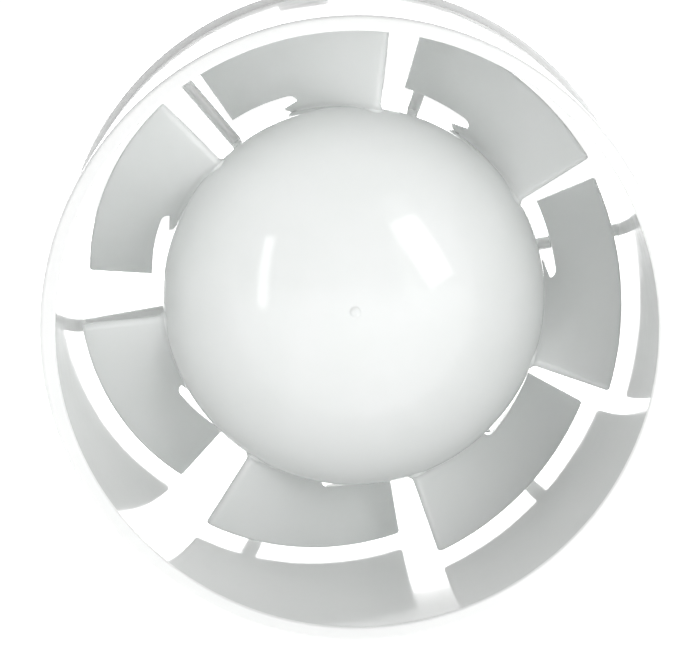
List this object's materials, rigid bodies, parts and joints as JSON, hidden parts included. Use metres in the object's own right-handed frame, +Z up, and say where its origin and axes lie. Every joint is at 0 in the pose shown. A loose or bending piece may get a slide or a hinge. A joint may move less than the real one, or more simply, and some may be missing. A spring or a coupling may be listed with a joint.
{
  "type": "bathroom extractor fan",
  "caption": "Short round in-line duct fan: domed hub impeller turning in a white tube, carried by a motor can on radial struts.",
  "frame": {"origin": "on the fan axis, in the plane of the intake rim", "axes": "+Y along the fan axis with the air flow, from intake to outlet; +X to the right and +Z up for someone looking into the intake"},
  "size_m": [0.1024, 0.1, 0.1034],
  "materials": {
    "white_abs_gloss": "polished white ABS moulding",
    "white_abs_impeller": "satin white ABS moulding",
    "grey_rubber": "soft grey rubber",
    "brass": "turned brass",
    "spring_steel": "blued spring steel",
    "ground_steel": "ground bright steel",
    "electrical_steel": "stacked sheet steel",
    "cast_aluminium": "cast aluminium",
    "natural_nylon": "natural nylon",
    "sintered_bronze": "oil-soaked sintered bronze",
    "oiled_felt": "oil-soaked wool felt",
    "plated_screw": "zinc-plated steel",
    "black_nylon": "glass-filled black nylon",
    "fuse_body": "cream resin",
    "brown_pvc": "brown PVC insulation",
    "blue_pvc": "blue PVC insulation",
    "copper": "bare copper",
    "enamelled_copper": "enamelled copper wire"
  },
  "bodies": {
    "fan_casing": {"casing": "white_abs_gloss", "casing_cable_grommet": "grey_rubber", "motor_cable_grommet": "grey_rubber", "front_bearing": "sintered_bronze", "rear_bearing": "sintered_bronze", "front_bearing_felt": "oiled_felt", "rear_bearing_felt": "oiled_felt", "front_bearing_retainer": "spring_steel", "rear_bearing_retainer": "spring_steel", "stator_core": "electrical_steel", "stator_screws": "plated_screw", "motor_end_plate": "black_nylon", "motor_rear_cap": "white_abs_gloss", "rear_cap_screws": "plated_screw", "cord_clamp": "black_nylon", "cord_clamp_screws": "plated_screw", "terminal_block": "natural_nylon", "terminal_sleeves": "brass", "terminal_screws": "plated_screw", "thermal_fuse": "fuse_body", "live_lead": "brown_pvc", "neutral_lead": "blue_pvc", "shading_ring_1": "copper", "coil_bobbin_1": "black_nylon", "coil_winding_1": "enamelled_copper", "shading_ring_2": "copper", "coil_bobbin_2": "black_nylon", "coil_winding_2": "enamelled_copper", "shading_ring_3": "copper", "coil_bobbin_3": "black_nylon", "coil_winding_3": "enamelled_copper", "shading_ring_4": "copper", "coil_bobbin_4": "black_nylon", "coil_winding_4": "enamelled_copper", "coil_link_1": "enamelled_copper", "coil_link_2": "enamelled_copper", "coil_link_3": "enamelled_copper"},
    "fan_rotor": {"impeller": "white_abs_impeller", "impeller_bush": "brass", "impeller_collar": "spring_steel", "motor_shaft": "ground_steel", "shaft_clip": "spring_steel", "rotor_core": "electrical_steel", "rotor_cage": "cast_aluminium", "front_thrust_washer": "natural_nylon", "rear_thrust_washer": "natural_nylon"}
  },
  "joints": [
    {"name": "impeller_spin", "type": "hinge", "parent": "fan_casing", "child": "fan_rotor", "pos_m": [0, 0, 0], "axis": [0, 1, 0], "continuous": true}
  ]
}
